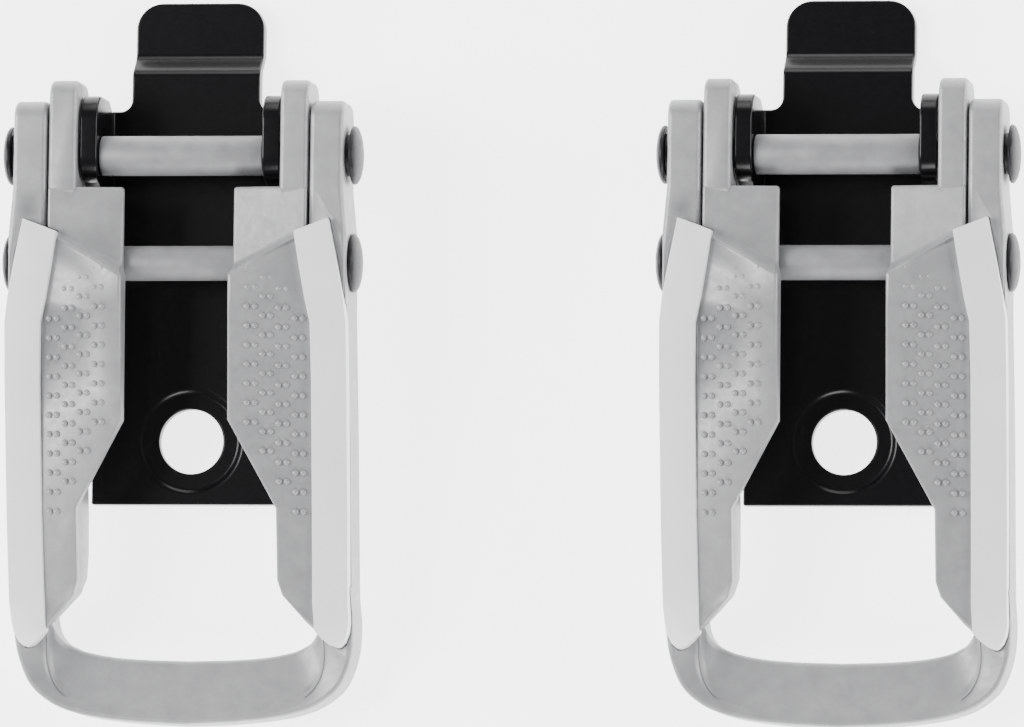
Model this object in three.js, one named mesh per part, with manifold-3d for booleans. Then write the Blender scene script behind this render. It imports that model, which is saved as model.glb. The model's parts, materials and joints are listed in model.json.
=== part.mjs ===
// A pair of lever buckles for an alpine ski boot, closed and lying on their backs.
//
// One buckle is a stamped base plate that a screw holds to the boot, with two ears turned up at
// its sides, and a lever that swings on a rivet through those ears. The lever is a cast yoke with
// a finger loop, a cheek inside each yoke arm, and a rail let into each arm's front.
// A roller turns on each rivet: one between the ears, and one between the cheeks that catches
// the rungs of the ladder strap.
//
// Millimetres. +X runs across the buckles, +Y towards the tongues, +Z out of the boot. Z = 0 is
// the plane of the tongue's back and the loop's back, which the closed buckle stands on.

import * as THREE from 'three';
import { mergeVertices } from 'three/addons/utils/BufferGeometryUtils.js';
import Module from 'manifold-3d';

const wasm = await Module();
wasm.setup();

// ---- Driving dimensions --------------------------------------------------------------------

const pairGap = 29.8;            // clear space between the two buckles
const sideGap = 0.2;             // running gap between ear, cheek and yoke
const seatGap = 0.05;            // between a riveted piece and its seat
const fitGap = 0.12;             // around a rail in its pocket

const sheet = 1.75;              // base plate
const plateHalfWidth = 10.15;    // over the ears
const footHalfWidth = 9.8;
const footReach = 34.65;         // hinge axis to the foot's edge
const shoulderReach = 5.15;      // hinge axis to the shoulders
const shoulderFillet = 1.2;
const tongueReach = 15.75;       // hinge axis to the tongue's end
const tongueHalfWidth = 6.35;
const tongueCorner = 2.6;
const tongueDrop = 2.0;          // how far the tongue lies behind the floor
const joggleReach = 9.35;        // hinge axis to the middle of the joggle
const joggleLength = 2.4;
const earReach = 6.05;           // hinge axis to the ear's edge, both ways at its root
const earHead = 2.7;             // ear above the hinge axis
const bendInside = 0.25;         // inner radius of the bend between floor and ear
const screwHole = 3.25;          // radius, for an M6 screw
const screwReach = 28.25;        // hinge axis to the screw hole
const coinRadius = 5.7;          // coined seat around the hole
const coinDepth = 0.5;

const hingeHeight = 8.0;         // hinge axis above the floor's back
const catchReach = 10.8;         // hinge axis to the catch axis
const catchHeight = 7.65;        // catch axis above the floor's back
const hingeRollerRadius = 2.0;
const catchRollerRadius = 1.75;
const shankRadius = 1.4;
const boreGap = 0.1;             // between a shank and the holes it runs in
const headRadius = 2.95;
const headHeight = 1.0;
const washerRadius = 2.1;
const washerThick = 0.4;

const leverReach = 56.85;        // hinge axis to the end of the finger loop
const cheekWall = 2.85;
const cheekTop = 7.05;           // cheek's arm above the hinge axis
const channelHalf = 5.4;         // half the space between the two pads
const shelfReach = 3.35;         // hinge axis to the shelf that joins arm and pad
const shelfThick = 0.9;
const shelfGap = 0.15;           // above the catch roller
const yokeWall = 3.8;
const yokeTop = 5.05;            // yoke's arm above the hinge axis
const armFront = 3.4;            // arms' front above the hinge axis
const armEdge = 1.8;             // rounding of an arm's free end
const loopBar = 6.5;             // width of the loop's bar
const loopThick = 5.0;
const loopLip = 3.0;             // bar's thickness at its inner edge
const seamShift = 0.65;          // step of the seam between cheek and yoke, under the rail
const railThick = 1.9;
const railEdge = 0.2;             // bevel along a rail's front edges

const roundSteps = 24;           // sides of a full circle

// ---- Places worked out from them -------------------------------------------------------------

const hingeY = (leverReach - tongueReach) / 2;   // the pair is centred on Y = 0
const hingeZ = tongueDrop + hingeHeight;
const catchY = hingeY - catchReach;
const catchZ = tongueDrop + catchHeight;
const floorFront = tongueDrop + sheet;
const earInner = plateHalfWidth - sheet;
const bendRadius = bendInside + sheet;
const cheekInner = plateHalfWidth + sideGap;
const cheekOuter = cheekInner + cheekWall;
const yokeInner = cheekOuter + sideGap;
const yokeOuter = yokeInner + yokeWall;
const headSeat = yokeOuter + seatGap;
const buckleHalfWidth = headSeat + headHeight;
const shelfUnder = catchZ + catchRollerRadius + shelfGap;

// Stations along the lever are shares of its reach. Their heights are counted from the spine, a
// line from the hinge axis down to the floor's back at the end of the loop.
const leverY = (share) => hingeY - share * leverReach;
const spine = (share) => tongueDrop + hingeHeight * (1 - share);

// Below the catch rivet the seam between cheek and yoke steps out under the rail.
function seamStep(share) {
  const out = THREE.MathUtils.clamp((share - 0.14) / 0.14, 0, 1);
  const back = THREE.MathUtils.clamp((0.833 - share) / 0.063, 0, 1);
  return seamShift * Math.min(out, back);
}

// ---- Solids from three.js geometry ---------------------------------------------------------

function solid(geometry) {
  geometry.deleteAttribute('normal');
  geometry.deleteAttribute('uv');
  const merged = mergeVertices(geometry, 1e-5);
  return new wasm.Manifold(new wasm.Mesh({
    numProp: 3,
    vertProperties: new Float32Array(merged.attributes.position.array),
    triVerts: new Uint32Array(merged.index.array),
  }));
}

function geometryOf(shape) {
  const { vertProperties, triVerts } = shape.getMesh();
  const geometry = new THREE.BufferGeometry();
  geometry.setAttribute('position', new THREE.BufferAttribute(vertProperties, 3));
  geometry.setIndex(new THREE.BufferAttribute(triVerts, 1));
  geometry.computeVertexNormals();
  return geometry;
}

// An outline in (x, y) raised from z0 to z1.
function prismZ(outline, z0, z1) {
  const geometry = new THREE.ExtrudeGeometry(outline, {
    depth: z1 - z0, bevelEnabled: false, curveSegments: 5,
  });
  return solid(geometry.translate(0, 0, z0));
}

// A side view in (y, z) carried from x0 to x1.
function prismX(outline, x0, x1) {
  const geometry = new THREE.ExtrudeGeometry(outline, {
    depth: x1 - x0, bevelEnabled: false, curveSegments: 5,
  });
  const turn = new THREE.Matrix4().set(0, 0, 1, x0, 1, 0, 0, 0, 0, 1, 0, 0, 0, 0, 0, 1);
  return solid(geometry.applyMatrix4(turn));
}

// An end view in (x, z) carried from y0 to y1.
function prismY(outline, y0, y1) {
  const geometry = new THREE.ExtrudeGeometry(outline, {
    depth: y1 - y0, bevelEnabled: false, curveSegments: 5,
  });
  const turn = new THREE.Matrix4().set(1, 0, 0, 0, 0, 0, -1, y1, 0, 1, 0, 0, 0, 0, 0, 1);
  return solid(geometry.applyMatrix4(turn));
}

// A rod on a line along X at (y, z).
function rodX(radius, x0, x1, y, z) {
  const geometry = new THREE.CylinderGeometry(radius, radius, x1 - x0, roundSteps);
  geometry.rotateZ(Math.PI / 2).translate((x0 + x1) / 2, y, z);
  return solid(geometry);
}

// A profile of [radius, x] turned round a line along X at (y, z).
function turnedX(profile, y, z) {
  const points = profile.map(([radius, x]) => new THREE.Vector2(radius, -x));
  const geometry = new THREE.LatheGeometry(points, roundSteps);
  geometry.rotateZ(Math.PI / 2).translate(0, y, z);
  return outward(geometry);
}

// Turns a closed geometry's faces outwards before it becomes a solid.
function outward(geometry) {
  geometry.deleteAttribute('normal');
  geometry.deleteAttribute('uv');
  const merged = mergeVertices(geometry, 1e-5);
  const place = merged.attributes.position;
  const corners = merged.index.array;
  const [a, b, c] = [new THREE.Vector3(), new THREE.Vector3(), new THREE.Vector3()];
  const kept = [];
  let volume = 0;
  for (let i = 0; i < corners.length; i += 3) {
    const face = [corners[i], corners[i + 1], corners[i + 2]];
    if (new Set(face).size < 3) continue;
    [a, b, c].forEach((corner, k) => corner.fromBufferAttribute(place, face[k]));
    volume += a.dot(b.cross(c));
    kept.push(face);
  }
  merged.setIndex(kept.flatMap(([i, j, k]) => (volume < 0 ? [i, k, j] : [i, j, k])));
  return solid(merged);
}

// A body through a row of sections, each a ring of [x, y, z] corners seen along Y.
function loft(sections) {
  const count = sections[0].length;
  const index = [];
  for (let row = 0; row + 1 < sections.length; row += 1) {
    for (let i = 0; i < count; i += 1) {
      const here = row * count + i;
      const next = row * count + ((i + 1) % count);
      index.push(here, next, here + count, next, next + count, here + count);
    }
  }
  const cap = (row, along) => {
    const ring = sections[row].map(([x, , z]) => new THREE.Vector2(x, z));
    const ringTurn = Math.sign(THREE.ShapeUtils.area(ring));
    for (const corners of THREE.ShapeUtils.triangulateShape(ring, [])) {
      const turn = Math.sign(THREE.ShapeUtils.area(corners.map((corner) => ring[corner])));
      const [i, j, k] = corners.map((corner) => row * count + corner);
      index.push(...((turn === ringTurn) === along ? [i, j, k] : [i, k, j]));
    }
  };
  cap(0, false);
  cap(sections.length - 1, true);
  const geometry = new THREE.BufferGeometry();
  geometry.setAttribute('position', new THREE.Float32BufferAttribute(sections.flat(2), 3));
  geometry.setIndex(index);
  return outward(geometry);
}

const outlineOf = (points) => new THREE.Shape(points.map(([u, v]) => new THREE.Vector2(u, v)));

const mirrored = (shape) => shape.mirror([1, 0, 0]);

// ---- Base plate ------------------------------------------------------------------------------

// Height of the sheet's back at a distance above the hinge axis: it steps down to the tongue.
function backHeight(reach) {
  const share = THREE.MathUtils.clamp((reach - joggleReach) / joggleLength + 0.5, 0, 1);
  return tongueDrop * (1 + Math.cos(Math.PI * share)) / 2;
}

function plateOutline() {
  const outline = new THREE.Shape();
  const foot = hingeY - footReach;
  const shoulder = hingeY + shoulderReach;
  const end = hingeY + tongueReach;
  const rim = plateHalfWidth - bendRadius;
  outline.moveTo(-footHalfWidth, foot);
  outline.lineTo(footHalfWidth, foot);
  outline.lineTo(plateHalfWidth, hingeY - earReach);
  outline.lineTo(rim, hingeY - earReach);
  outline.lineTo(rim, shoulder);
  outline.lineTo(tongueHalfWidth + shoulderFillet, shoulder);
  outline.absarc(tongueHalfWidth + shoulderFillet, shoulder + shoulderFillet, shoulderFillet,
    -Math.PI / 2, -Math.PI, true);
  outline.absarc(tongueHalfWidth - tongueCorner, end - tongueCorner, tongueCorner, 0, Math.PI / 2);
  outline.absarc(tongueCorner - tongueHalfWidth, end - tongueCorner, tongueCorner,
    Math.PI / 2, Math.PI);
  outline.absarc(-tongueHalfWidth - shoulderFillet, shoulder + shoulderFillet, shoulderFillet,
    0, -Math.PI / 2, true);
  outline.lineTo(-rim, shoulder);
  outline.lineTo(-rim, hingeY - earReach);
  outline.lineTo(-plateHalfWidth, hingeY - earReach);
  return outline;
}

function bentSheet() {
  const back = [];
  const steps = 8;
  for (let i = 0; i <= steps; i += 1) {
    const reach = joggleReach + joggleLength * (i / steps - 0.5);
    back.push([hingeY + reach, backHeight(reach)]);
  }
  const profile = [[hingeY - footReach, tongueDrop], ...back, [hingeY + tongueReach, 0]];
  const front = profile.map(([y, z]) => [y, z + sheet]).reverse();
  return prismX(outlineOf([...profile, ...front]), -plateHalfWidth, plateHalfWidth);
}

// Both ears and the floor between them: a trough with rounded outer bends.
function earTrough() {
  const top = hingeZ + earHead;
  const trough = new THREE.Shape();
  trough.moveTo(-plateHalfWidth, top);
  trough.lineTo(-plateHalfWidth, tongueDrop + bendRadius);
  trough.absarc(-plateHalfWidth + bendRadius, tongueDrop + bendRadius, bendRadius,
    Math.PI, 1.5 * Math.PI);
  trough.absarc(plateHalfWidth - bendRadius, tongueDrop + bendRadius, bendRadius,
    -Math.PI / 2, 0);
  trough.lineTo(plateHalfWidth, top);
  trough.lineTo(earInner, top);
  trough.absarc(earInner - bendInside, floorFront + bendInside, bendInside, 0, -Math.PI / 2, true);
  trough.absarc(bendInside - earInner, floorFront + bendInside, bendInside, -Math.PI / 2, -Math.PI, true);
  trough.lineTo(-earInner, top);

  const ear = new THREE.Shape();
  ear.moveTo(hingeY - earReach, tongueDrop);
  ear.lineTo(hingeY + earReach, tongueDrop);
  ear.absarc(hingeY + earReach - earHead, hingeZ, earHead, 0, Math.PI / 2);
  ear.absarc(hingeY, hingeZ, earHead, Math.PI / 2, Math.PI);
  ear.lineTo(hingeY - earReach, floorFront);
  return prismY(trough, hingeY - earReach, hingeY + earReach)
    .intersect(prismX(ear, -plateHalfWidth, plateHalfWidth))
    .subtract(rodX(shankRadius + boreGap, -plateHalfWidth - 1, plateHalfWidth + 1, hingeY, hingeZ));
}

function basePlate() {
  const strip = bentSheet().intersect(prismZ(plateOutline(), 0, floorFront));
  const hole = new THREE.CylinderGeometry(screwHole, screwHole, 4 * sheet, roundSteps);
  const seat = new THREE.CylinderGeometry(coinRadius, coinRadius - coinDepth, 2 * coinDepth,
    roundSteps);
  hole.rotateX(Math.PI / 2).translate(0, hingeY - screwReach, tongueDrop);
  // The seat's wall slopes: its mean depth line lies in the floor's front.
  seat.rotateX(Math.PI / 2).translate(0, hingeY - screwReach, floorFront);
  return strip.add(earTrough()).subtract(solid(hole)).subtract(solid(seat));
}

// ---- Lever -----------------------------------------------------------------------------------

// Side view of an arm: its free end is rounded, and it runs on past the loop below.
function armView(top, front, back) {
  const view = new THREE.Shape();
  const end = hingeY + top;
  const below = hingeY - 1.1 * leverReach;
  view.moveTo(below, -1);
  view.lineTo(end - armEdge, -1);
  view.lineTo(end - armEdge, back);
  view.absarc(end - armEdge, back + armEdge, armEdge, -Math.PI / 2, 0);
  view.absarc(end - armEdge, front - armEdge, armEdge, 0, Math.PI / 2);
  view.lineTo(below, front);
  return view;
}

// The side rails run from [inner share, inner x, outer share, outer x, front over the spine].
function rail(gap) {
  const stations = [
    [0.140, yokeInner - 1.35, 0.117, yokeOuter - 1.7, 5.44],
    [0.200, yokeInner - 0.8, 0.190, yokeOuter - 0.85, 5.8],
    [0.256, yokeInner - 0.25, 0.256, yokeOuter - 0.15, 6.05],
    [0.300, yokeInner + 0.3, 0.300, yokeOuter + 0.15, 6.15],
    [0.400, yokeInner + 0.4, 0.400, yokeOuter + 0.2, 6.2],
    [0.508, yokeInner + 0.4, 0.508, yokeOuter + 0.2, 6.16],
    [0.650, yokeInner + 0.35, 0.650, yokeOuter + 0.15, 6.05],
    [0.789, yokeInner + 0.2, 0.789, yokeOuter, 5.8],
    [0.845, yokeInner + 1.5, 0.840, yokeOuter - 0.95, 4.6],
    [0.866, yokeInner + 2.0, 0.863, yokeOuter - 1.3, 4.2],
  ];
  const sections = stations.map(([shareIn, xIn, shareOut, xOut, rise], row) => {
    const front = spine(shareOut) + rise;
    const back = front - railThick - gap;
    const along = { 0: gap, [stations.length - 1]: -gap }[row] ?? 0;
    const [yIn, yOut] = [leverY(shareIn) + along, leverY(shareOut) + along];
    return [
      [xIn - gap, yIn, back], [xOut + gap, yOut, back],
      [xOut + gap, yOut, front + gap - railEdge], [xOut + gap - railEdge, yOut, front + gap],
      [xIn - gap + railEdge, yIn, front + gap], [xIn - gap, yIn, front + gap - railEdge],
    ];
  });
  return loft(sections);
}

// The right-hand cheek. Below its arm each section is an L: a wall beside the base plate, and a
// shelf that reaches in over the strap's channel and carries the thumb pad.
function cheek() {
  const shelf = shelfUnder + shelfThick;
  const shelfShare = shelfReach / leverReach;
  const shelfIn = channelHalf + 0.2;
  const skirtIn = cheekInner - 0.3;
  // [inner share, outer share, inner x, inner front, outer front, shelf's back, wall's back]
  const over = (share, rise) => spine(share) + rise;
  const arm = hingeZ + armFront;
  const stations = [
    [shelfShare, shelfShare, shelfIn, shelf, arm, shelfUnder, over(0.059, -3.1)],
    [0.207, 0.136, shelfIn, shelf, over(0.136, 4.49), shelfUnder, over(0.16, -2.8)],
    [0.212, 0.141, channelHalf, over(0.212, 6.2), over(0.141, 4.9), shelfUnder, over(0.165, -2.8)],
    [0.280, 0.280, channelHalf, over(0.28, 6.5), over(0.28, 5.4), shelfUnder, over(0.28, -2.4)],
    [0.471, 0.471, channelHalf, over(0.471, 7.1), over(0.471, 5.66), over(0.471, 4.96),
      over(0.471, -1.8)],
    [0.625, 0.625, skirtIn, over(0.625, 6.6), over(0.625, 5.8), over(0.625, 5.2),
      over(0.625, -1.5)],
    [0.770, 0.770, skirtIn, over(0.77, 6.3), over(0.77, 5.4), over(0.77, 4.7), over(0.77, -0.5)],
    [0.800, 0.800, skirtIn + 0.9, over(0.8, 5.9), over(0.8, 5.1), over(0.8, 4.4), over(0.8, 0.6)],
    [0.833, 0.833, cheekOuter - 0.5, over(0.833, 5.2), over(0.833, 4.7), over(0.833, 4.2),
      over(0.833, 2.6)],
  ];
  const sections = stations.map(([shareIn, shareOut, xIn, frontIn, frontOut, under, back]) => {
    const [yIn, yOut] = [leverY(shareIn), leverY(shareOut)];
    const xOut = cheekOuter + seamStep(shareOut);
    const wallX = Math.max(cheekInner, xIn + 0.1);
    const wallY = THREE.MathUtils.lerp(yIn, yOut, (wallX - xIn) / (xOut - xIn));
    return [
      [xIn, yIn, under], [xIn, yIn, frontIn], [xOut, yOut, frontOut],
      [xOut, yOut, back], [wallX, wallY, back], [wallX, wallY, under],
    ];
  });
  const armBack = over(0.059, -3.1);
  const armEnd = prismX(armView(cheekTop, arm, armBack), cheekInner, cheekOuter)
    .intersect(prismZ(outlineOf([
      [cheekInner, hingeY - shelfReach - 0.4], [cheekOuter, hingeY - shelfReach - 0.4],
      [cheekOuter, hingeY + cheekTop + 1], [cheekInner, hingeY + cheekTop + 1],
    ]), armBack, arm + 1));
  return loft(sections)
    .add(armEnd)
    .subtract(rail(fitGap))
    .subtract(rodX(shankRadius + boreGap, cheekInner - 1, cheekOuter + 1, hingeY, hingeZ))
    .subtract(rodX(shankRadius + boreGap, cheekInner - 1, cheekOuter + 1, catchY, catchZ));
}

// The yoke: two arms and the finger loop, one row of sections from arm to arm.
function yoke() {
  const loopEnd = hingeY - leverReach;
  const loopInside = loopEnd + loopBar;
  const seatX = yokeOuter - washerThick;
  const arm = hingeZ + armFront;
  // Arm stations: [share, outer x, front, back].
  const armStations = [
    [-yokeTop / leverReach, seatX, arm, hingeZ - 3.4],
    [0.06, seatX, arm, spine(0.06) - 3.2],
    [0.14, yokeOuter, arm - 0.05, spine(0.14) - 3.0],
    [0.28, yokeOuter, spine(0.28) + 5.36, spine(0.28) - 2.4],
    [0.50, yokeOuter + 0.2, spine(0.5) + 5.6, spine(0.5) - 1.6],
    [0.77, yokeOuter + 0.15, spine(0.77) + 5.15, spine(0.77) - 1.8],
  ].map(([share, xOut, front, back]) => [xOut, leverY(share), yokeInner + seamStep(share),
    leverY(share), front, front, back]);
  // Loop stations: [outer x, outer y, inner x, inner y, outer front, inner front, back]. Across
  // the bar x is a share of the arms' spread and y is counted from the loop's two edges.
  const lip = (rise) => loopThick + rise;
  const loopStations = [
    [1.010, 10.0, 1 + seamStep(0.808) / yokeInner, 4.4, lip(1.9), lip(1.9), 0.6],
    [0.992, 7.0, 1.0, 3.0, lip(0.8), lip(0.4), 0.2],
    [0.930, 4.2, 0.950, 1.95, lip(0.3), lip(-0.8), 0],
    [0.831, 2.5, 0.881, 1.4, lip(0.1), loopLip, 0],
    [0.703, 1.4, 0.784, 0.9, lip(0), loopLip, 0],
    [0.529, 0.7, 0.590, 0.4, lip(0), loopLip, 0],
    [0.290, 0.25, 0.343, 0.13, lip(0), loopLip, 0],
    [0, 0, 0, 0, lip(0), loopLip, 0],
  ].map(([xOut, yOut, xIn, yIn, outer, inner, back]) => [
    xOut * yokeOuter, loopEnd + yOut, xIn * yokeInner, loopInside + yIn, outer, inner, back]);
  const half = [...armStations, ...loopStations];
  const whole = [...half, ...half.slice(0, -1).reverse().map(([xOut, yOut, xIn, ...rest]) => [
    -xOut, yOut, -xIn, ...rest])];
  const edge = 0.5;
  const sections = whole.map(([xOut, yOut, xIn, yIn, outer, inner, back]) => {
    const reach = Math.hypot(xOut - xIn, yOut - yIn);
    const at = (inset, z) => {
      const share = inset / reach;
      return [THREE.MathUtils.lerp(xOut, xIn, share), THREE.MathUtils.lerp(yOut, yIn, share), z];
    };
    return [
      at(0, outer - edge), at(edge, outer), at(reach - edge, inner), at(reach, inner - edge),
      at(reach, back + edge), at(reach - edge, back), at(edge, back), at(0, back + edge),
    ];
  });
  const shank = shankRadius + boreGap;
  const reachX = yokeOuter + 1;
  return loft(sections)
    .intersect(prismX(armView(yokeTop, arm + 3, hingeZ - 3.4), -reachX, reachX))
    .subtract(rail(fitGap))
    .subtract(mirrored(rail(fitGap)))
    .subtract(rodX(shank, -reachX, reachX, hingeY, hingeZ))
    .subtract(rodX(shank, -reachX, reachX, catchY, catchZ));
}

// ---- Axles ---------------------------------------------------------------------------------------

function roller(radius, halfLength, y, z) {
  const bore = shankRadius + boreGap;
  return turnedX([
    [bore, -halfLength], [radius - 0.15, -halfLength], [radius, 0.15 - halfLength],
    [radius, halfLength - 0.15], [radius - 0.15, halfLength], [bore, halfLength],
    [bore, -halfLength],
  ], y, z);
}

// A rivet with a domed head at each end, as one turned solid.
function rivet(y, z) {
  const dome = [];
  const steps = 4;
  for (let i = 0; i <= steps; i += 1) {
    const angle = (Math.PI / 2) * (i / steps);
    dome.push([headRadius * Math.cos(angle), headSeat + 0.2 + (headHeight - 0.2) * Math.sin(angle)]);
  }
  dome[steps][0] = 0;
  const right = [[shankRadius, headSeat], [headRadius - 0.1, headSeat], ...dome];
  const left = right.map(([radius, x]) => [radius, -x]).reverse();
  return turnedX([...left, ...right], y, z);
}

function washer() {
  const inner = yokeOuter - washerThick + seatGap / 2;
  const outer = yokeOuter + seatGap / 2;
  const bore = shankRadius + boreGap;
  return turnedX([
    [bore, inner], [washerRadius, inner], [washerRadius, outer], [bore, outer], [bore, inner],
  ], hingeY, hingeZ);
}

// ---- Finishes --------------------------------------------------------------------------------------

const finish = (color, roughness, metalness) => new THREE.MeshStandardMaterial({
  color, roughness, metalness,
});
const blackPlate = finish(0x17181a, 0.28, 0.1);
const castAlloy = finish(0xb2b3b4, 0.5, 0.6);
const paleRail = finish(0xd3d4d5, 0.42, 0.2);
const satinTube = finish(0xa4a5a6, 0.45, 0.8);
const darkSteel = finish(0x6f7072, 0.3, 0.9);
const blackWasher = finish(0x101112, 0.5, 0.1);

// ---- Assembly --------------------------------------------------------------------------------------

const group = new THREE.Group();
group.name = 'boot_buckle_pair';

function buckle(side, centreX) {
  const place = new THREE.Group();
  place.position.x = centreX;
  const put = (name, shape, material) => {
    const mesh = new THREE.Mesh(geometryOf(shape), material);
    mesh.name = `${side}_${name}`;
    place.add(mesh);
  };
  const tubeGap = 0.1;
  put('base_plate', basePlate(), blackPlate);
  put('yoke', yoke(), castAlloy);
  put('cheek_right', cheek(), castAlloy);
  put('cheek_left', mirrored(cheek()), castAlloy);
  put('rail_right', rail(0), paleRail);
  put('rail_left', mirrored(rail(0)), paleRail);
  put('hinge_rivet', rivet(hingeY, hingeZ), darkSteel);
  put('catch_rivet', rivet(catchY, catchZ), darkSteel);
  put('hinge_roller', roller(hingeRollerRadius, earInner - tubeGap, hingeY, hingeZ), satinTube);
  put('catch_roller', roller(catchRollerRadius, cheekInner - tubeGap, catchY, catchZ), satinTube);
  put('washer_right', washer(), blackWasher);
  put('washer_left', mirrored(washer()), blackWasher);
  group.add(place);
}

const centre = buckleHalfWidth + pairGap / 2;
buckle('first', -centre);
buckle('second', centre);

export default group;
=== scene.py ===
import json
import math
import bmesh
import bpy
from mathutils import Matrix, Vector


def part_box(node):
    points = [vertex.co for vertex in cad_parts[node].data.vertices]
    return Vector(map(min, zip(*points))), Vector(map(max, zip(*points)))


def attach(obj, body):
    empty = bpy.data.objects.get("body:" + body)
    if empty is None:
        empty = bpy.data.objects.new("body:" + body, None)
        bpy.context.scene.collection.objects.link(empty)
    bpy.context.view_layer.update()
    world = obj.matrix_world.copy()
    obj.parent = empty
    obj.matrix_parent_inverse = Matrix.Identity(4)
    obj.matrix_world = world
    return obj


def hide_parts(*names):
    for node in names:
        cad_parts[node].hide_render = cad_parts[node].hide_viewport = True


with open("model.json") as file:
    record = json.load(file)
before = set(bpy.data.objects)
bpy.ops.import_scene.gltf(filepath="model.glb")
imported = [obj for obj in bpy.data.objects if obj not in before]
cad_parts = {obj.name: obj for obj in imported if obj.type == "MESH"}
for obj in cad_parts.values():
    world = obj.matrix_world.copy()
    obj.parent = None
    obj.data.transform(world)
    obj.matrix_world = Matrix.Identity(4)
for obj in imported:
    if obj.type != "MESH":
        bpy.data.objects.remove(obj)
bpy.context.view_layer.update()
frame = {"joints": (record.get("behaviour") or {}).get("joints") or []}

# ---- The two buckles' places ---------------------------------------------------------------------
# Both buckles are the same. Each piece is modelled in millimetres about a buckle's own centre
# plane, X = 0, and set on both. The two rivets' lines come from the frame's joints.
MM = 0.001
joints = {joint["name"]: joint for joint in frame["joints"]}
hinge_y, hinge_z = [value / MM for value in joints["first_lever_hinge"]["pos_m"][1:]]
catch_y, catch_z = [value / MM for value in joints["first_catch_roller_spin"]["pos_m"][1:]]
centres = {side: joints[f"{side}_lever_hinge"]["pos_m"][0] for side in ("first", "second")}


def span(node):
    """A node's lowest and highest corners in mm, with X counted from its buckle's centre."""
    low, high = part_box(node)
    shift = Vector((centres[node.split("_")[0]], 0, 0))
    return (low - shift) / MM, (high - shift) / MM


# ---- Camera -------------------------------------------------------------------------------------
# A long lens looks almost straight down on the closed pair, a little from the right and from the
# finger loops' end.
camera_data = bpy.data.cameras.new("camera")
camera = bpy.data.objects.new("camera", camera_data)
bpy.context.scene.collection.objects.link(camera)
bpy.context.scene.camera = camera
aim = Vector((0.0002, -0.0002, 0.0081))
yaw, pitch = math.radians(9.0), math.radians(4.8)
to_camera = Vector((math.sin(yaw) * math.cos(pitch), -math.sin(pitch),
                    math.cos(yaw) * math.cos(pitch)))
frame_width = 0.1024
camera_data.sensor_width = 36.0
camera_data.lens = 450.0
camera_data.clip_end = 10.0
up = to_camera.cross(Vector((1, 0, 0))).normalized()
right = up.cross(to_camera)
distance = frame_width * camera_data.lens / camera_data.sensor_width
camera.matrix_world = Matrix.Translation(aim + to_camera * distance) @ Matrix(
    (right, up, to_camera)).transposed().to_4x4()


# ---- Base plate ---------------------------------------------------------------------------------
# One stamping of 1.75 mm steel sheet: floor, joggled tongue, two turned-up ears and a coined
# screw hole. It is e-coated and then powder coated gloss black.

def deselect():
    """Nothing is selected, so that an operator acts only on what comes next."""
    bpy.ops.object.select_all(action="DESELECT")


def pick(piece):
    """piece alone is selected and active."""
    deselect()
    piece.select_set(True)
    bpy.context.view_layer.objects.active = piece


def draw_out(name, rings):
    """A closed body: a face with ring 0's corners, extruded from ring to ring."""
    deselect()
    bpy.ops.mesh.primitive_circle_add(vertices=len(rings[0]), radius=1, fill_type="NGON")
    body = bpy.context.object
    body.name = name
    for vertex, corner in zip(body.data.vertices, rings[0]):
        vertex.co = corner
    bpy.ops.object.mode_set(mode="EDIT")
    bpy.ops.mesh.select_all(action="SELECT")
    for last, ring in zip(rings, rings[1:]):
        bpy.ops.mesh.extrude_region_move()
        mesh = bmesh.from_edit_mesh(body.data)
        for vertex in [v for v in mesh.verts if v.select]:
            nearest = min(range(len(last)), key=lambda i: (Vector(last[i]) - vertex.co).length)
            vertex.co = ring[nearest]
        bmesh.update_edit_mesh(body.data)
    bpy.ops.mesh.select_all(action="SELECT")
    bpy.ops.mesh.normals_make_consistent(inside=False)
    bpy.ops.object.mode_set(mode="OBJECT")
    return body


def arc(centre, radius, start, end, steps=10):
    """Points on an arc, angles in degrees."""
    angles = [math.radians(start + (end - start) * i / steps) for i in range(steps + 1)]
    return [(centre[0] + radius * math.cos(a), centre[1] + radius * math.sin(a)) for a in angles]


def join_or_cut(piece, tool, operation, solver="EXACT"):
    """Adds tool to piece, cuts it away or keeps what they share, and uses the tool up."""
    change = piece.modifiers.new("shape", "BOOLEAN")
    change.operation = operation
    change.solver = solver
    change.object = tool
    pick(piece)
    bpy.ops.object.modifier_apply(modifier=change.name)
    bpy.data.objects.remove(tool)


def bore(piece, radius, y, z, half_length, solver="EXACT"):
    """Drills a hole on a line along X."""
    deselect()
    bpy.ops.mesh.primitive_cylinder_add(vertices=64, radius=radius, depth=2 * half_length,
                                        location=(0, y, z), rotation=(0, math.pi / 2, 0))
    join_or_cut(piece, bpy.context.object, "DIFFERENCE", solver)


smooth_below = math.radians(32)


def smooth_flats(piece):
    """Smooth shading over the roundings, with the flats flat."""
    pick(piece)
    bpy.ops.object.shade_smooth_by_angle(angle=smooth_below)
    flats = piece.modifiers.new("flats", "WEIGHTED_NORMAL")
    flats.keep_sharp = True
    bpy.ops.object.modifier_apply(modifier=flats.name)


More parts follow.
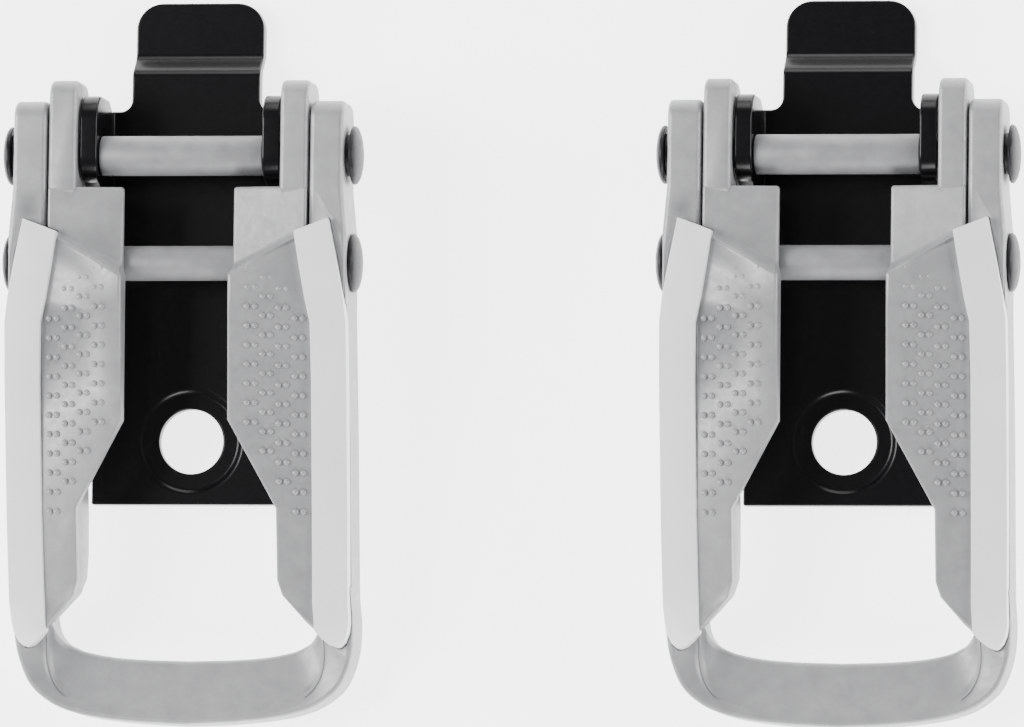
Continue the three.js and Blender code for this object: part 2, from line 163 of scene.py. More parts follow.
def soften(piece, width, steps=3, sharper_than=38, crisp=lambda place: False):
    """Rounds the edges sharper than so many degrees, apart from those that stay crisp."""
    pick(piece)
    bpy.ops.object.mode_set(mode="EDIT")
    bpy.ops.mesh.select_all(action="SELECT")
    bpy.ops.mesh.remove_doubles(threshold=0.004)
    bpy.ops.mesh.dissolve_limited(angle_limit=math.radians(0.6))
    mesh = bmesh.from_edit_mesh(piece.data)
    weight = mesh.edges.layers.float.new("bevel_weight_edge")
    for edge in mesh.edges:
        middle = (edge.verts[0].co + edge.verts[1].co) / 2
        sharp = edge.calc_face_angle(0) > math.radians(sharper_than)
        edge[weight] = 1.0 if sharp and not crisp(middle) else 0.0
    bmesh.update_edit_mesh(piece.data)
    bpy.ops.object.mode_set(mode="OBJECT")
    rounding = piece.modifiers.new("edge_radius", "BEVEL")
    rounding.width = width
    rounding.segments = steps
    rounding.limit_method = "WEIGHT"
    rounding.use_clamp_overlap = False
    rounding.miter_outer = "MITER_ARC"
    bpy.ops.object.modifier_apply(modifier=rounding.name)
    smooth_flats(piece)


def set_on(model, piece, body, material, node=None, mirror=False):
    """Sets a copy of the model on each buckle, with its own mesh, in place of its CAD node."""
    for side, centre in centres.items():
        mesh = model.data.copy()
        turn = Matrix.Diagonal((-MM if mirror else MM, MM, MM, 1))
        mesh.transform(Matrix.Translation((centre, 0, 0)) @ turn)
        if mirror:
            mesh.flip_normals()
        copy = bpy.data.objects.new(f"{side}_{piece}", mesh)
        bpy.context.scene.collection.objects.link(copy)
        mesh.materials.clear()
        mesh.materials.append(material)
        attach(copy, body.format(side=side))
        if node:
            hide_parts(f"{side}_{node}")


def linear(colour):
    """An sRGB hex colour as the linear RGBA that shaders take."""
    shares = [int(colour[i:i + 2], 16) / 255 for i in (1, 3, 5)]
    return [s / 12.92 if s <= 0.04045 else ((s + 0.055) / 1.055) ** 2.4 for s in shares] + [1.0]


def add_node(tree, kind, settings=None, inputs=None, links=None):
    """Adds one shader node: settings are its own, inputs are values, links are sockets."""
    node = tree.nodes.new(kind)
    for name, value in (settings or {}).items():
        setattr(node, name, value)
    for name, value in (inputs or {}).items():
        node.inputs[name].default_value = value
    for name, socket in (links or {}).items():
        tree.links.new(socket, node.inputs[name])
    return node


def shader_of(name):
    """A new material, with its tree, its Principled shader and Object coordinates."""
    material = bpy.data.materials.new(name)
    material.use_nodes = True
    tree = material.node_tree
    shader = tree.nodes["Principled BSDF"]
    place = add_node(tree, "ShaderNodeTexCoord").outputs["Object"]
    return material, tree, shader, place


def powder_coat_black():
    """Gloss powder coat: a faint orange peel, and fine specks where it is a little duller.

    It looks deep black, with soft edges to what it reflects.
    """
    peel_mm, speck_mm = 0.7, 0.25
    material, tree, shader, place = shader_of("powder_coat_gloss_black")
    peel = add_node(tree, "ShaderNodeTexNoise", inputs={"Scale": 1 / (peel_mm * MM), "Detail": 2.0},
                    links={"Vector": place})
    speck = add_node(tree, "ShaderNodeTexNoise", inputs={"Scale": 1 / (speck_mm * MM),
                                                         "Detail": 4.0}, links={"Vector": place})
    bump = add_node(tree, "ShaderNodeBump", inputs={"Strength": 0.05, "Distance": 0.01 * MM},
                    links={"Height": peel.outputs["Fac"]})
    gloss = add_node(tree, "ShaderNodeMapRange", inputs={"From Min": 0.35, "From Max": 0.7,
                                                         "To Min": 0.22, "To Max": 0.27},
                     links={"Value": speck.outputs["Fac"]})
    tint = add_node(tree, "ShaderNodeValToRGB", links={"Fac": peel.outputs["Fac"]})
    tint.color_ramp.elements[0].position = 0.3
    tint.color_ramp.elements[0].color = linear("#08080a")
    tint.color_ramp.elements[1].position = 0.75
    tint.color_ramp.elements[1].color = linear("#0d0d0f")
    tree.links.new(tint.outputs["Color"], shader.inputs["Base Color"])
    tree.links.new(gloss.outputs["Result"], shader.inputs["Roughness"])
    tree.links.new(bump.outputs["Normal"], shader.inputs["Normal"])
    shader.inputs["IOR"].default_value = 1.5
    shader.inputs["Specular IOR Level"].default_value = 0.25
    return material


sheet, bend_inside, hinge_height, bore_radius = 1.75, 0.25, 8.0, 1.5
plate_low, plate_high = span("first_base_plate")
floor_back = hinge_z - hinge_height
floor_front = floor_back + sheet
foot_half, tongue_half, tongue_corner, shoulder_fillet = 10.1, 6.55, 2.7, 1.2
tongue_end = plate_high.y + 0.6
ear_outer = plate_high.x
bend = sheet + bend_inside
rim = ear_outer - bend
ear_reach, ear_head = 6.05, 2.7
ear_low, ear_high = hinge_y - ear_reach, hinge_y + ear_reach
shoulder = hinge_y + 5.15
joggle_middle, joggle_length, joggle_steps = hinge_y + 9.95, 2.6, 16
past = 1    # how far a cutting body reaches past what it cuts

# The sheet from the side, then its outline from the front, as the blank is stamped out.
profile = [(plate_low.y, floor_back)]
for i in range(joggle_steps + 1):
    share = i / joggle_steps
    drop = floor_back * (1 + math.cos(math.pi * share)) / 2
    profile.append((joggle_middle + joggle_length * (share - 0.5), drop))
profile.append((tongue_end, 0))
profile += [(y, z + sheet) for y, z in reversed(profile)]
plate = draw_out("plate", [[(x, y, z) for y, z in profile] for x in (-ear_outer, ear_outer)])
plan = ([(foot_half, plate_low.y), (ear_outer, ear_low), (rim, ear_low), (rim, shoulder)]
        + arc((tongue_half + shoulder_fillet, shoulder + shoulder_fillet), shoulder_fillet,
              270, 180)
        + arc((tongue_half - tongue_corner, tongue_end - tongue_corner), tongue_corner, 0, 90))
plan += [(-x, y) for x, y in reversed(plan)]
stamping = draw_out("stamping", [[(x, y, z) for x, y in plan]
                                 for z in (-past, floor_front + past)])
join_or_cut(plate, stamping, "INTERSECT")

# Each ear is a bent strip, trimmed to the ear's side view.
ear_section = (arc((rim, floor_back + bend), bend, 270, 360)
               + [(ear_outer, plate_high.z), (ear_outer - sheet, plate_high.z)]
               + arc((rim, floor_front + bend_inside), bend_inside, 0, -90, 6))
ear_view = ([(ear_low, floor_back - past), (shoulder, floor_back - past),
             (shoulder, floor_front + 0.6), (ear_high, floor_front + 2.2)]
            + arc((ear_high - ear_head, hinge_z), ear_head, 0, 90)
            + arc((hinge_y, hinge_z), ear_head, 90, 180)
            + [(ear_low, floor_front)])
for hand in (1, -1):
    ear = draw_out("ear", [[(hand * x, y, z) for x, z in ear_section]
                           for y in (ear_low, ear_high)])
    ear_punch = draw_out("ear_punch", [[(x, y, z) for y, z in ear_view]
                                       for x in (-ear_outer - past, ear_outer + past)])
    join_or_cut(ear, ear_punch, "INTERSECT")
    join_or_cut(plate, ear, "UNION")
bore(plate, bore_radius, hinge_y, hinge_z, ear_outer + past)

# The screw hole, with the shallow round seat that is coined about it.
screw_y, screw_radius = hinge_y - 28.25, 3.25
coin_radius, coin_depth, coin_slope = 5.6, 0.3, 2.4
deselect()
bpy.ops.mesh.primitive_cylinder_add(vertices=96, radius=screw_radius, depth=8,
                                    location=(0, screw_y, floor_back))
join_or_cut(plate, bpy.context.object, "DIFFERENCE")
deselect()
bpy.ops.mesh.primitive_cone_add(vertices=96, radius1=coin_radius - coin_slope * coin_depth,
                                radius2=coin_radius, depth=2 * coin_depth,
                                location=(0, screw_y, floor_front))
join_or_cut(plate, bpy.context.object, "DIFFERENCE")
soften(plate, 0.22, crisp=lambda place: abs(place.y - ear_low) < 0.4 and abs(place.x) > rim - 0.3)
set_on(plate, "plate_shell", "root", powder_coat_black(), "base_plate")
bpy.data.objects.remove(plate)


# ---- Side rails ---------------------------------------------------------------------------------
# A moulded strip let into the front of each yoke arm, pointed at its lower end. It is
# glass-filled nylon with the fine matt skin of a spark-eroded mould; its pale grey is painted
# highlight, for the light that its outward-sloping faces catch, though they are drawn flat.
yoke_low = span("first_yoke")[0]
lever_reach = hinge_y - yoke_low.y
side_play, cheek_wide, yoke_wide = 0.2, 2.85, 3.8
cheek_inner = ear_outer + side_play
cheek_outer = cheek_inner + cheek_wide
yoke_inner = cheek_outer + side_play
yoke_outer = yoke_inner + yoke_wide


def down(share):
    """Y of a station, a share of the lever's reach below the hinge."""
    return hinge_y - share * lever_reach


def spine(share):
    """Z of the line from the hinge to the floor's back at the loop's end."""
    return floor_back + hinge_height * (1 - share)


# [inner share, inner x, outer share, outer x, front above the spine]
rail_rows = [
    [0.140, yoke_inner - 1.35, 0.117, yoke_outer - 1.7, 5.44],
    [0.200, yoke_inner - 0.8, 0.190, yoke_outer - 0.85, 5.8],
    [0.256, yoke_inner - 0.25, 0.256, yoke_outer - 0.15, 6.05],
    [0.300, yoke_inner + 0.3, 0.300, yoke_outer + 0.15, 6.15],
    [0.400, yoke_inner + 0.4, 0.400, yoke_outer + 0.2, 6.2],
    [0.508, yoke_inner + 0.4, 0.508, yoke_outer + 0.2, 6.16],
    [0.650, yoke_inner + 0.35, 0.650, yoke_outer + 0.15, 6.05],
    [0.789, yoke_inner + 0.25, 0.789, yoke_outer + 0.05, 5.8],
    [0.838, yoke_inner + 0.3, 0.822, yoke_outer - 0.02, 5.0],
    [0.851, yoke_inner + 1.0, 0.840, yoke_outer - 0.2, 4.7],
    [0.861, yoke_inner + 1.7, 0.856, yoke_outer - 0.6, 4.4],
    [0.8655, yoke_inner + 2.35, 0.8645, yoke_outer - 1.1, 4.2],
]
rail_thick, straight_rows = 1.9, 7


def rail_body(name, side_gap=0, end_gap=0, inner_gap=0, above=0):
    """The right-hand rail, or with gaps the pocket that it lies in."""
    rings = []
    for row, (share_in, x_in, share_out, x_out, rise) in enumerate(rail_rows):
        end = end_gap if row == 0 else -end_gap if row >= straight_rows else 0
        y_in, y_out = down(share_in) + end, down(share_out) + end
        front = spine(share_out) + rise
        back = front - rail_thick - side_gap
        rings.append([(x_in - inner_gap, y_in, back), (x_out + side_gap, y_out, back),
                      (x_out + side_gap, y_out, front + above),
                      (x_in - inner_gap, y_in, front + above)])
    return draw_out(name, rings)


def rail_tone_painted_highlight():
    """Spark-eroded skin, finer than the 0.2 mm drawn, with a low, even sheen; the pale grey is
    painted highlight.
    """
    skin_mm, cloud_mm = 0.2, 6.0
    material, tree, shader, place = shader_of("rail_pale_grey_painted_highlight")
    skin = add_node(tree, "ShaderNodeTexNoise", inputs={"Scale": 1 / (skin_mm * MM),
                                                        "Detail": 3.0}, links={"Vector": place})
    cloud = add_node(tree, "ShaderNodeTexNoise", inputs={"Scale": 1 / (cloud_mm * MM),
                                                         "Detail": 2.0}, links={"Vector": place})
    # Painted highlight: the pale grey stands in for light on the strip's outward-sloping faces.
    tint = add_node(tree, "ShaderNodeValToRGB", links={"Fac": cloud.outputs["Fac"]})
    tint.color_ramp.elements[0].position = 0.3
    tint.color_ramp.elements[0].color = linear("#e8e9ea")
    tint.color_ramp.elements[1].position = 0.7
    tint.color_ramp.elements[1].color = linear("#eeefef")
    bump = add_node(tree, "ShaderNodeBump", inputs={"Strength": 0.2, "Distance": 0.01 * MM},
                    links={"Height": skin.outputs["Fac"]})
    tree.links.new(tint.outputs["Color"], shader.inputs["Base Color"])
    tree.links.new(bump.outputs["Normal"], shader.inputs["Normal"])
    shader.inputs["Roughness"].default_value = 0.42
    shader.inputs["IOR"].default_value = 1.53
    return material


rail = rail_body("rail")
soften(rail, 0.12, 2, 30)
pale_rail_highlight = rail_tone_painted_highlight()
# The rails' pale grey is painted highlight on faces drawn flat.
set_on(rail, "rail_strip_right", "{side}_lever", pale_rail_highlight, "rail_right")
set_on(rail, "rail_strip_left", "{side}_lever", pale_rail_highlight, "rail_left", mirror=True)
bpy.data.objects.remove(rail)


# ---- Yoke ---------------------------------------------------------------------------------------
# A zinc-aluminium die casting: two arms and the finger loop in one. It is tumbled until its
# edges are round, then silver lacquered, and keeps the casting's soft blotches.
arm_half, arm_edge, seam_shift = 3.4, 1.8, 0.65
arm_front = hinge_z + arm_half


def seam_step(share):
    """Below the catch rivet the seam between cheek and yoke steps out under the rail."""
    out = min(max((share - 0.14) / 0.14, 0), 1)
    back = min(max((0.833 - share) / 0.063, 0), 1)
    return seam_shift * min(out, back)


def rounded_end(end, front, back, steps=8):
    """[y, front, back] of an arm's free end, rounded in the side view."""
    rows = []
    for i in range(steps):
        angle = math.pi / 2 * i / steps
        inset = arm_edge * (1 - math.sin(angle))
        rows.append((end - arm_edge * (1 - math.cos(angle)), front - inset, back + inset))
    return rows


def smooth_rows(rows, steps):
    """Rows of numbers with steps - 1 more rows between each two, on a Catmull-Rom curve."""
    out = []
    for i in range(len(rows) - 1):
        a, b, c, d = (rows[max(i - 1, 0)], rows[i], rows[i + 1], rows[min(i + 2, len(rows) - 1)])
        for k in range(steps):
            t = k / steps
            out.append([0.5 * (2 * q + (r - p) * t + (2 * p - 5 * q + 4 * r - s) * t * t
                               + (3 * q - p - 3 * r + s) * t ** 3)
                        for p, q, r, s in zip(a, b, c, d)])
    return out + [list(rows[-1])]


def yoke_rows():
    """[outer x, outer y, inner x, inner y, outer front, inner front, back, scoop's edge, depth].

    From the arm's end to the loop's middle. The thumb scoop's edge is a share of the way out.
    """
    loop_end = yoke_low.y
    loop_inside = loop_end + 6.5
    seat = yoke_outer - 0.4
    end = hinge_y + 5.35
    rows = [[seat, y, yoke_inner, y, front, front, back, 0.2, 0]
            for y, front, back in rounded_end(end, arm_front, hinge_z - arm_half)]
    arms = [
        [end - arm_edge, seat, arm_front, hinge_z - arm_half],
        [down(0.06), seat, arm_front, spine(0.06) - 3.2],
        [down(0.14), yoke_outer, arm_front - 0.05, spine(0.14) - 3.0],
        [down(0.28), yoke_outer, spine(0.28) + 5.36, spine(0.28) - 2.4],
        [down(0.50), yoke_outer + 0.2, spine(0.5) + 5.6, spine(0.5) - 1.6],
        [down(0.77), yoke_outer + 0.15, spine(0.77) + 5.15, spine(0.77) - 1.8],
    ]
    for y, x_out, front, back in arms:
        x_in = yoke_inner + seam_step((hinge_y - y) / lever_reach)
        rows.append([x_out, y, x_in, y, front, front, back, 0.2, 0])
    step = 1 + seam_step(0.808) / yoke_inner
    bar = [
        rows[-1],
        [1.010 * yoke_outer, loop_end + 10.0, step * yoke_inner, loop_inside + 4.4, 6.9, 6.9, 0.6,
         0.14, 0],
        [0.992 * yoke_outer, loop_end + 7.0, yoke_inner, loop_inside + 3.0, 5.8, 5.6, 0.2,
         0.16, 0.5],
        [0.930 * yoke_outer, loop_end + 4.2, 0.950 * yoke_inner, loop_inside + 1.95, 5.3, 4.7, 0,
         0.42, 0.6],
        [0.831 * yoke_outer, loop_end + 2.5, 0.881 * yoke_inner, loop_inside + 1.4, 5.1, 3.9, 0,
         0.66, 0.5],
        [0.703 * yoke_outer, loop_end + 1.4, 0.784 * yoke_inner, loop_inside + 0.9, 5.0, 3.4, 0,
         0.78, 0.3],
        [0.529 * yoke_outer, loop_end + 0.7, 0.590 * yoke_inner, loop_inside + 0.4, 5.0, 3.1, 0,
         0.8, 0.1],
        [0.290 * yoke_outer, loop_end + 0.25, 0.343 * yoke_inner, loop_inside + 0.13, 5.0, 3.0, 0,
         0.8, 0],
        [0, loop_end, 0, loop_inside, 5.0, 3.0, 0, 0.8, 0],
    ]
    return rows[:-1] + smooth_rows(bar, 5)


def cast_alloy():
    """Tumbled die casting under silver lacquer: soft blotches, shallow pits and a fine grain.

    It looks a mild, cloudy grey, with wide highlights on its edges.
    """
    blotch_mm, grain_mm, pit_mm = 2.2, 0.15, 0.6
    material, tree, shader, place = shader_of("die_cast_alloy_tumbled_silver")
    blotch = add_node(tree, "ShaderNodeTexNoise", inputs={"Scale": 1 / (blotch_mm * MM),
                                                          "Detail": 5.0, "Roughness": 0.6},
                      links={"Vector": place})
    grain = add_node(tree, "ShaderNodeTexNoise", inputs={"Scale": 1 / (grain_mm * MM),
                                                         "Detail": 2.0}, links={"Vector": place})
    pits = add_node(tree, "ShaderNodeTexNoise", inputs={"Scale": 1 / (pit_mm * MM),
                                                        "Detail": 3.0}, links={"Vector": place})
    tint = add_node(tree, "ShaderNodeValToRGB", links={"Fac": blotch.outputs["Fac"]})
    tint.color_ramp.elements[0].position = 0.32
    tint.color_ramp.elements[0].color = linear("#929394")
    tint.color_ramp.elements[1].position = 0.68
    tint.color_ramp.elements[1].color = linear("#9fa0a1")
    sheen = add_node(tree, "ShaderNodeMapRange", inputs={"From Min": 0.3, "From Max": 0.7,
                                                         "To Min": 0.4, "To Max": 0.54},
                     links={"Value": pits.outputs["Fac"]})
    fine = add_node(tree, "ShaderNodeBump", inputs={"Strength": 0.25, "Distance": 0.01 * MM},
                    links={"Height": grain.outputs["Fac"]})
    soft = add_node(tree, "ShaderNodeBump", inputs={"Strength": 0.35, "Distance": 0.03 * MM},
                    links={"Height": pits.outputs["Fac"], "Normal": fine.outputs["Normal"]})
    tree.links.new(tint.outputs["Color"], shader.inputs["Base Color"])
    tree.links.new(sheen.outputs["Result"], shader.inputs["Roughness"])
    tree.links.new(soft.outputs["Normal"], shader.inputs["Normal"])
    shader.inputs["Metallic"].default_value = 0.3
    return material


def yoke_ring(x_out, y_out, x_in, y_in, front_out, front_in, back, edge, depth):
    """One section through the yoke: outer front, the scoop's edge and floor, and the back."""
    lip_half = 0.03
    inner, outer = Vector((x_in, y_in, front_in)), Vector((x_out, y_out, front_out))
    lip, foot = inner.lerp(outer, edge + lip_half), inner.lerp(outer, edge - lip_half)
    scoop = Vector((0, 0, depth))
    return [outer, lip, foot - scoop, inner - scoop,
            Vector((x_in, y_in, back)), Vector((x_out, y_out, back))]


def cut_pocket(body, hand=1):
    """Cuts the right rail's pocket, or the left one's where hand is -1."""
    pocket = rail_body("pocket", side_gap=0.08, end_gap=0.12, inner_gap=0.01, above=0.3)
    if hand < 0:
        pocket.data.transform(Matrix.Diagonal((-1, 1, 1, 1)))
        pocket.data.flip_normals()
    join_or_cut(body, pocket, "DIFFERENCE", "FAST")


def bore_for_rivets(body):
    """Drills the hinge rivet's and the catch rivet's holes."""
    for axle_y, axle_z in ((hinge_y, hinge_z), (catch_y, catch_z)):
        bore(body, bore_radius, axle_y, axle_z, yoke_outer + past, "FAST")


half = yoke_rows()
whole = half + [[-x_out, y_out, -x_in, *rest] for x_out, y_out, x_in, *rest in half[-2::-1]]
yoke = draw_out("yoke", [yoke_ring(*row) for row in whole])
soften(yoke, 0.5, 4)
cut_pocket(yoke)
cut_pocket(yoke, hand=-1)
bore_for_rivets(yoke)
smooth_flats(yoke)
alloy = cast_alloy()
set_on(yoke, "yoke_casting", "{side}_lever", alloy, "yoke")
bpy.data.objects.remove(yoke)


# ---- Cheeks -------------------------------------------------------------------------------------
# A die casting beside each yoke arm, of the same alloy: arm, shelf, thumb pad and skirt. Both
# rivets clamp it. Paired round studs, cast in four staggered columns, give the thumb its grip.
catch_roller_radius, roller_gap, shelf_thick = 1.75, 0.15, 0.9
shelf_under = catch_z + catch_roller_radius + roller_gap
shelf_front = shelf_under + shelf_thick
shelf_y = hinge_y - 3.35
channel_half = 5.4
skirt_in = cheek_inner - 0.2

# [inner share, outer share, inner x, inner front, outer front, shelf's back]
pad_rows = [
    [0.059, 0.059, channel_half + 0.2, shelf_front, arm_front, shelf_under],
    [0.199, 0.132, channel_half + 0.2, shelf_front, spine(0.132) + 4.49, shelf_under],
    [0.217, 0.144, channel_half, spine(0.217) + 6.2, spine(0.144) + 4.9, shelf_under],
    [0.280, 0.280, channel_half, spine(0.28) + 6.5, spine(0.28) + 5.4, shelf_under],
    [0.471, 0.471, channel_half, spine(0.471) + 7.1, spine(0.471) + 5.66, spine(0.471) + 4.96],
    [0.625, 0.625, skirt_in, spine(0.625) + 6.6, spine(0.625) + 5.8, spine(0.625) + 5.2],
    [0.750, 0.770, skirt_in, spine(0.75) + 6.3, spine(0.77) + 5.4, spine(0.77) + 4.7],
    [0.776, 0.800, skirt_in + 0.45, spine(0.776) + 6.0, spine(0.8) + 5.1, spine(0.8) + 4.4],
    [0.822, 0.838, cheek_outer - 0.35, spine(0.822) + 5.2, spine(0.838) + 4.7,
     spine(0.838) + 4.2],
]
# [share, back above the spine]
wall_rows = [[0.059, -3.1], [0.165, -2.8], [0.280, -2.4], [0.471, -1.8], [0.625, -1.5],
             [0.700, -1.2], [0.740, -0.3], [0.770, 1.2], [0.800, 2.6], [0.822, 3.2]]


def pad_at(share):
    """Pad's [inner x, inner front, outer front, shelf's back] at a share of the reach."""
    for low, high in zip(pad_rows[3:], pad_rows[4:]):
        if low[0] <= share <= high[0]:
            t = (share - low[0]) / (high[0] - low[0])
            return [a + (b - a) * t for a, b in zip(low[2:], high[2:])]
    return pad_rows[3][2:]


def cheek_body():
    """Arm and wall in one body, shelf and pad in another, joined."""
    arm_back = spine(wall_rows[0][0]) + wall_rows[0][1]
    sections = [(cheek_inner, cheek_outer, y, front, back)
                for y, front, back in (*rounded_end(hinge_y + 7.45, arm_front, arm_back),
                                       (shelf_y + 0.4, arm_front, arm_back),
                                       (shelf_y - 0.6, arm_front - 0.08, arm_back))]
    for share, rise in wall_rows:
        inner, front_in, front_out, under = pad_at(share)
        x_in = max(cheek_inner if share < 0.5 else skirt_in - 0.1, inner + 0.1)
        front = (under + min(front_in, front_out)) / 2 if share > 0.28 else arm_front - 1.2
        sections.append((x_in, cheek_outer + seam_step(share), min(down(share), shelf_y - 1.0),
                         front, spine(share) + rise))
    cheek = draw_out("cheek", [[(x_in, y, front), (x_out, y, front), (x_out, y, back),
                                (x_in, y, back)] for x_in, x_out, y, front, back in sections])
    soften(cheek, 0.45, 3)
    rings = []
    for share_in, share_out, x_in, front_in, front_out, under in pad_rows:
        x_out = cheek_outer + (seam_shift if share_out > 0.77 else seam_step(share_out)) - 0.03
        y_in, y_out = down(share_in), down(share_out)
        rings.append([(x_in, y_in, under), (x_in, y_in, front_in), (x_out, y_out, front_out),
                      (x_out, y_out, under)])
    pad = draw_out("pad", rings)
    soften(pad, 0.3, 3, 30)
    cut_pocket(cheek)
    cut_pocket(pad)
    bore_for_rivets(cheek)
    smooth_flats(cheek)
    smooth_flats(pad)
    cheek.select_set(True)
    bpy.context.view_layer.objects.active = cheek
    bpy.ops.object.join()
    return cheek


def pad_front(x, y):
    """Height of the pad's front at a point on it."""
    share = (hinge_y - y) / lever_reach
    inner, front_in, front_out, _ = pad_at(share)
    t = (x - inner) / (cheek_outer + seam_step(share) - inner)
    return front_in + (front_out - front_in) * t


def studs():
    """One low dome, copied in pairs down four staggered columns."""
    stud_radius, stud_height, pitch, pair_half = 0.35, 0.3, 1.92, 0.39
    # [x of the pair's middle, first y, rows]
    columns = [(12.5, 3.9, 11), (10.87, 10.7, 13), (9.3, 9.9, 11), (7.75, 8.9, 9)]
    deselect()
    bpy.ops.mesh.primitive_uv_sphere_add(segments=10, ring_count=6, radius=stud_radius)
    stud = bpy.context.object
    bpy.ops.object.mode_set(mode="EDIT")
    bpy.ops.mesh.select_all(action="SELECT")
    bpy.ops.transform.resize(value=(1, 1, stud_height / stud_radius))
    bpy.ops.object.mode_set(mode="OBJECT")
    dome = stud.data.copy()
    bpy.data.objects.remove(stud)
    field = bmesh.new()
    for middle, top, rows in columns:
        for row in range(rows):
            for offset in (-pair_half, pair_half):
                x, y = middle + offset, top - row * pitch
                copy = dome.copy()
                copy.transform(Matrix.Translation((x, y, pad_front(x, y))))
                field.from_mesh(copy)
                bpy.data.meshes.remove(copy)
    mesh = bpy.data.meshes.new("studs")
    field.to_mesh(mesh)
    for face in mesh.polygons:
        face.use_smooth = True
    return bpy.data.objects.new("studs", mesh)


cheek = cheek_body()
set_on(cheek, "cheek_casting_right", "{side}_lever", alloy, "cheek_right")
set_on(cheek, "cheek_casting_left", "{side}_lever", alloy, "cheek_left", mirror=True)
bpy.data.objects.remove(cheek)
stud_field = studs()
set_on(stud_field, "pad_studs_right", "{side}_lever", alloy)
set_on(stud_field, "pad_studs_left", "{side}_lever", alloy, mirror=True)
bpy.data.objects.remove(stud_field)


# ---- Rollers ------------------------------------------------------------------------------------
# Cut steel tubes that turn on the rivets. They are barrel zinc plated, which leaves a satin
# surface with soft clouds.

def plated_steel():
    """Zinc plate: soft clouds, over turning lines round the tube that only dull its sheen."""
    cloud_mm, line_mm = 1.6, 0.12
    period = 0.314    # metres between a wave texture's lines at Scale 1
    material, tree, shader, place = shader_of("zinc_plated_steel_satin")
    cloud = add_node(tree, "ShaderNodeTexNoise", inputs={"Scale": 1 / (cloud_mm * MM),
                                                         "Detail": 4.0}, links={"Vector": place})
    lines = add_node(tree, "ShaderNodeTexWave", {"wave_type": "BANDS", "bands_direction": "X"},
                     {"Scale": period / (line_mm * MM), "Distortion": 2.0, "Detail": 1.0},
                     {"Vector": place})
    tint = add_node(tree, "ShaderNodeValToRGB", links={"Fac": cloud.outputs["Fac"]})
    tint.color_ramp.elements[0].position = 0.3
    tint.color_ramp.elements[0].color = linear("#838485")
    tint.color_ramp.elements[1].position = 0.7
    tint.color_ramp.elements[1].color = linear("#929394")
    bump = add_node(tree, "ShaderNodeBump", inputs={"Strength": 0.15, "Distance": 0.004 * MM},
                    links={"Height": lines.outputs["Fac"]})
    tree.links.new(tint.outputs["Color"], shader.inputs["Base Color"])
    tree.links.new(bump.outputs["Normal"], shader.inputs["Normal"])
    shader.inputs["Metallic"].default_value = 0.25
    shader.inputs["Roughness"].default_value = 0.55
    return material


def turned(name, profile, y, z, steps=72):
    """A body spun about a line along X from a profile of (x, radius)."""
    deselect()
    bpy.ops.mesh.primitive_circle_add(vertices=len(profile), radius=1, fill_type="NOTHING")
    body = bpy.context.object
    body.name = name
    for vertex, (x, radius) in zip(body.data.vertices, profile):
        vertex.co = (x, y, z + radius)
    bpy.ops.object.mode_set(mode="EDIT")
    bpy.ops.mesh.select_all(action="SELECT")
    bpy.ops.mesh.spin(steps=steps, angle=2 * math.pi, center=(0, y, z), axis=(1, 0, 0))
    bpy.ops.mesh.select_all(action="SELECT")
    bpy.ops.mesh.remove_doubles(threshold=0.002)
    bpy.ops.mesh.normals_make_consistent(inside=False)
    bpy.ops.object.mode_set(mode="OBJECT")
    bpy.ops.object.shade_smooth_by_angle(angle=smooth_below)
    return body


zinc = plated_steel()
hinge_roller_radius, tube_edge = 2.0, 0.15
tube_round = tube_edge * 0.3
for piece, radius, y, z, body in (
        ("hinge_roller", hinge_roller_radius, hinge_y, hinge_z, "{side}_hinge_roller"),
        ("catch_roller", catch_roller_radius, catch_y, catch_z, "{side}_catch_roller")):
    half_length = span(f"first_{piece}")[1].x
    right_end = [(half_length - tube_edge, radius), (half_length - tube_round, radius - tube_round),
                 (half_length, radius - tube_edge), (half_length, bore_radius)]
    left_end = [(-x, distance_out) for x, distance_out in reversed(right_end)]
    tube = turned(piece, left_end + right_end, y, z)
    set_on(tube, f"{piece}_tube", body, zinc, piece)
    bpy.data.objects.remove(tube)


# ---- Rivets and washers -------------------------------------------------------------------------
# Dark burnished steel rivets, their domed heads peened over at both ends. A thin washer lies
# under each head of the hinge rivet, coloured black as painted shadow: the shade under the head.

def burnished_steel():
    """Dark burnish: smoky patches that are glossier where they are darker."""
    patch_mm = 0.9
    material, tree, shader, place = shader_of("burnished_dark_steel")
    patch = add_node(tree, "ShaderNodeTexNoise", inputs={"Scale": 1 / (patch_mm * MM),
                                                         "Detail": 5.0}, links={"Vector": place})
    tint = add_node(tree, "ShaderNodeValToRGB", links={"Fac": patch.outputs["Fac"]})
    tint.color_ramp.elements[0].position = 0.3
    tint.color_ramp.elements[0].color = linear("#202022")
    tint.color_ramp.elements[1].position = 0.7
    tint.color_ramp.elements[1].color = linear("#363638")
    gloss = add_node(tree, "ShaderNodeMapRange", inputs={"From Min": 0.3, "From Max": 0.7,
                                                         "To Min": 0.34, "To Max": 0.5},
                     links={"Value": patch.outputs["Fac"]})
    tree.links.new(tint.outputs["Color"], shader.inputs["Base Color"])
    tree.links.new(gloss.outputs["Result"], shader.inputs["Roughness"])
    shader.inputs["Metallic"].default_value = 0.5
    shader.inputs["Specular IOR Level"].default_value = 0.3
    return material


def washer_painted_shadow_black():
    """Painted shadow: plain black for the shade under the rivet heads, with a matt skin drawn
    coarser than it is.
    """
    skin_mm = 0.3
    material, tree, shader, place = shader_of("washer_black_painted_shadow")
    skin = add_node(tree, "ShaderNodeTexNoise", inputs={"Scale": 1 / (skin_mm * MM)},
                    links={"Vector": place})
    bump = add_node(tree, "ShaderNodeBump", inputs={"Strength": 0.2, "Distance": 0.01 * MM},
                    links={"Height": skin.outputs["Fac"]})
    tree.links.new(bump.outputs["Normal"], shader.inputs["Normal"])
    # Painted shadow: this black stands in for the shade under each hinge rivet head.
    shader.inputs["Base Color"].default_value = linear("#121213")
    shader.inputs["Roughness"].default_value = 0.5
    return material


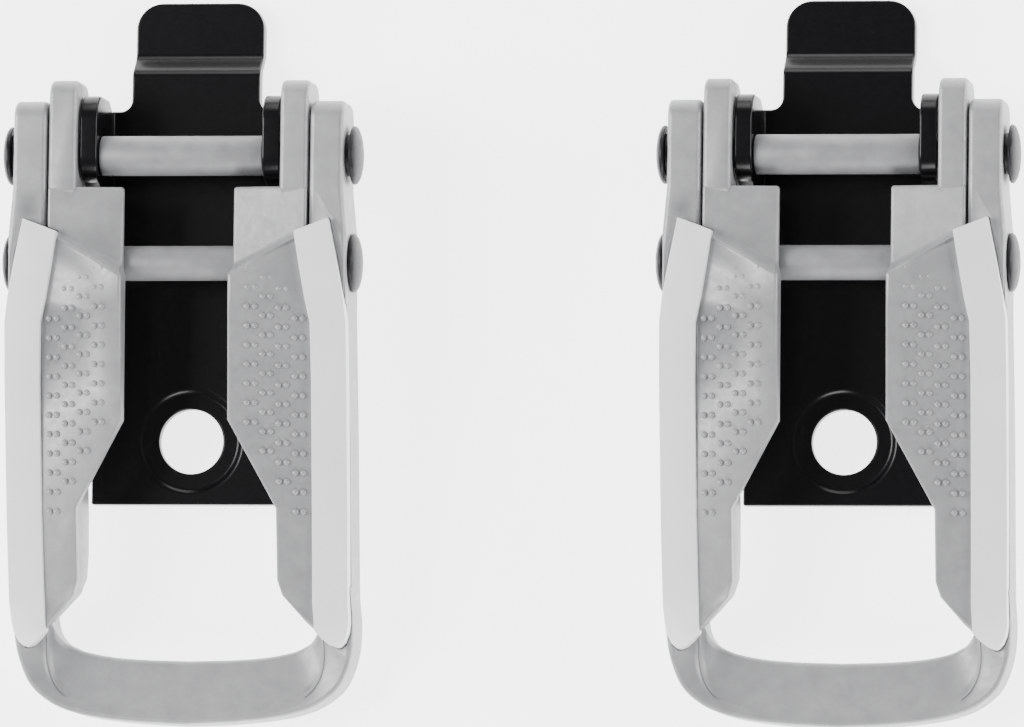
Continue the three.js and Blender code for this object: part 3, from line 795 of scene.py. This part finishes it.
steel = burnished_steel()
shank, head_radius, head_seat, head_rim, dome_steps = 1.4, 2.95, yoke_outer + 0.05, 0.2, 12
for piece, y, z, body in (("hinge_rivet", hinge_y, hinge_z, "root"),
                          ("catch_rivet", catch_y, catch_z, "{side}_lever")):
    head_top = span(f"first_{piece}")[1].x
    dome = [(head_seat, shank), (head_seat, head_radius - 0.12),
            (head_seat + 0.06, head_radius - 0.03)]
    rim_top = head_seat + head_rim
    for i in range(dome_steps + 1):
        angle = math.pi / 2 * i / dome_steps
        dome.append((rim_top + (head_top - rim_top) * math.sin(angle),
                     head_radius * math.cos(angle)))
    rivet = turned(piece, dome + [(-x, radius) for x, radius in reversed(dome)], y, z)
    set_on(rivet, f"{piece}_steel", body, steel, piece)
    bpy.data.objects.remove(rivet)

# The washers' black is painted shadow, not the colour of a real washer.
painted_shadow_black = washer_painted_shadow_black()
washer_in, washer_out = [corner.x for corner in span("first_washer_right")]
washer_radius, washer_edge = 2.1, 0.06
washer = turned("washer", [
    (washer_in, bore_radius), (washer_in, washer_radius - washer_edge),
    (washer_in + washer_edge, washer_radius), (washer_out - washer_edge, washer_radius),
    (washer_out, washer_radius - washer_edge), (washer_out, bore_radius)], hinge_y, hinge_z)
set_on(washer, "washer_disc_right", "root", painted_shadow_black, "washer_right")
set_on(washer, "washer_disc_left", "root", painted_shadow_black, "washer_left", mirror=True)
bpy.data.objects.remove(washer)


# ---- Floor and light ----------------------------------------------------------------------------
# A white table and large soft lights, so that little but the metal's own tones shows.
deselect()
bpy.ops.mesh.primitive_plane_add(size=6.0)
floor = bpy.context.object
floor.name = "studio_floor"
paper = bpy.data.materials.new("white_studio_paper")
paper.use_nodes = True
sheet_shader = paper.node_tree.nodes["Principled BSDF"]
sheet_shader.inputs["Base Color"].default_value = linear("#f4f4f4")
sheet_shader.inputs["Roughness"].default_value = 0.9
sheet_shader.inputs["Emission Color"].default_value = linear("#ffffff")
sheet_shader.inputs["Emission Strength"].default_value = 3.5
floor.data.materials.append(paper)

world = bpy.data.worlds.new("studio")
bpy.context.scene.world = world
world.use_nodes = True
sky = world.node_tree.nodes["Background"]
sky.inputs["Color"].default_value = (1, 1, 1, 1)
sky.inputs["Strength"].default_value = 0.3


def soft_box(name, place, power):
    """One square studio light, half a metre wide, aimed at the pair."""
    light = bpy.data.lights.new(name, "AREA")
    light.shape = "SQUARE"
    light.size = 0.5
    light.energy = power
    lamp = bpy.data.objects.new(name, light)
    bpy.context.scene.collection.objects.link(lamp)
    lamp.location = place
    lamp.rotation_euler = (-Vector(place)).to_track_quat("-Z", "Y").to_euler()


soft_box("key_light", (-0.75, 0.05, 0.9), 14.0)
soft_box("low_left", (-1.0, 0.1, 0.38), 8.0)
soft_box("low_right", (1.0, 0.1, 0.38), 9.0)
soft_box("low_top", (0.0, 1.0, 0.4), 4.0)
soft_box("low_front", (0.1, -1.0, 0.5), 9.0)
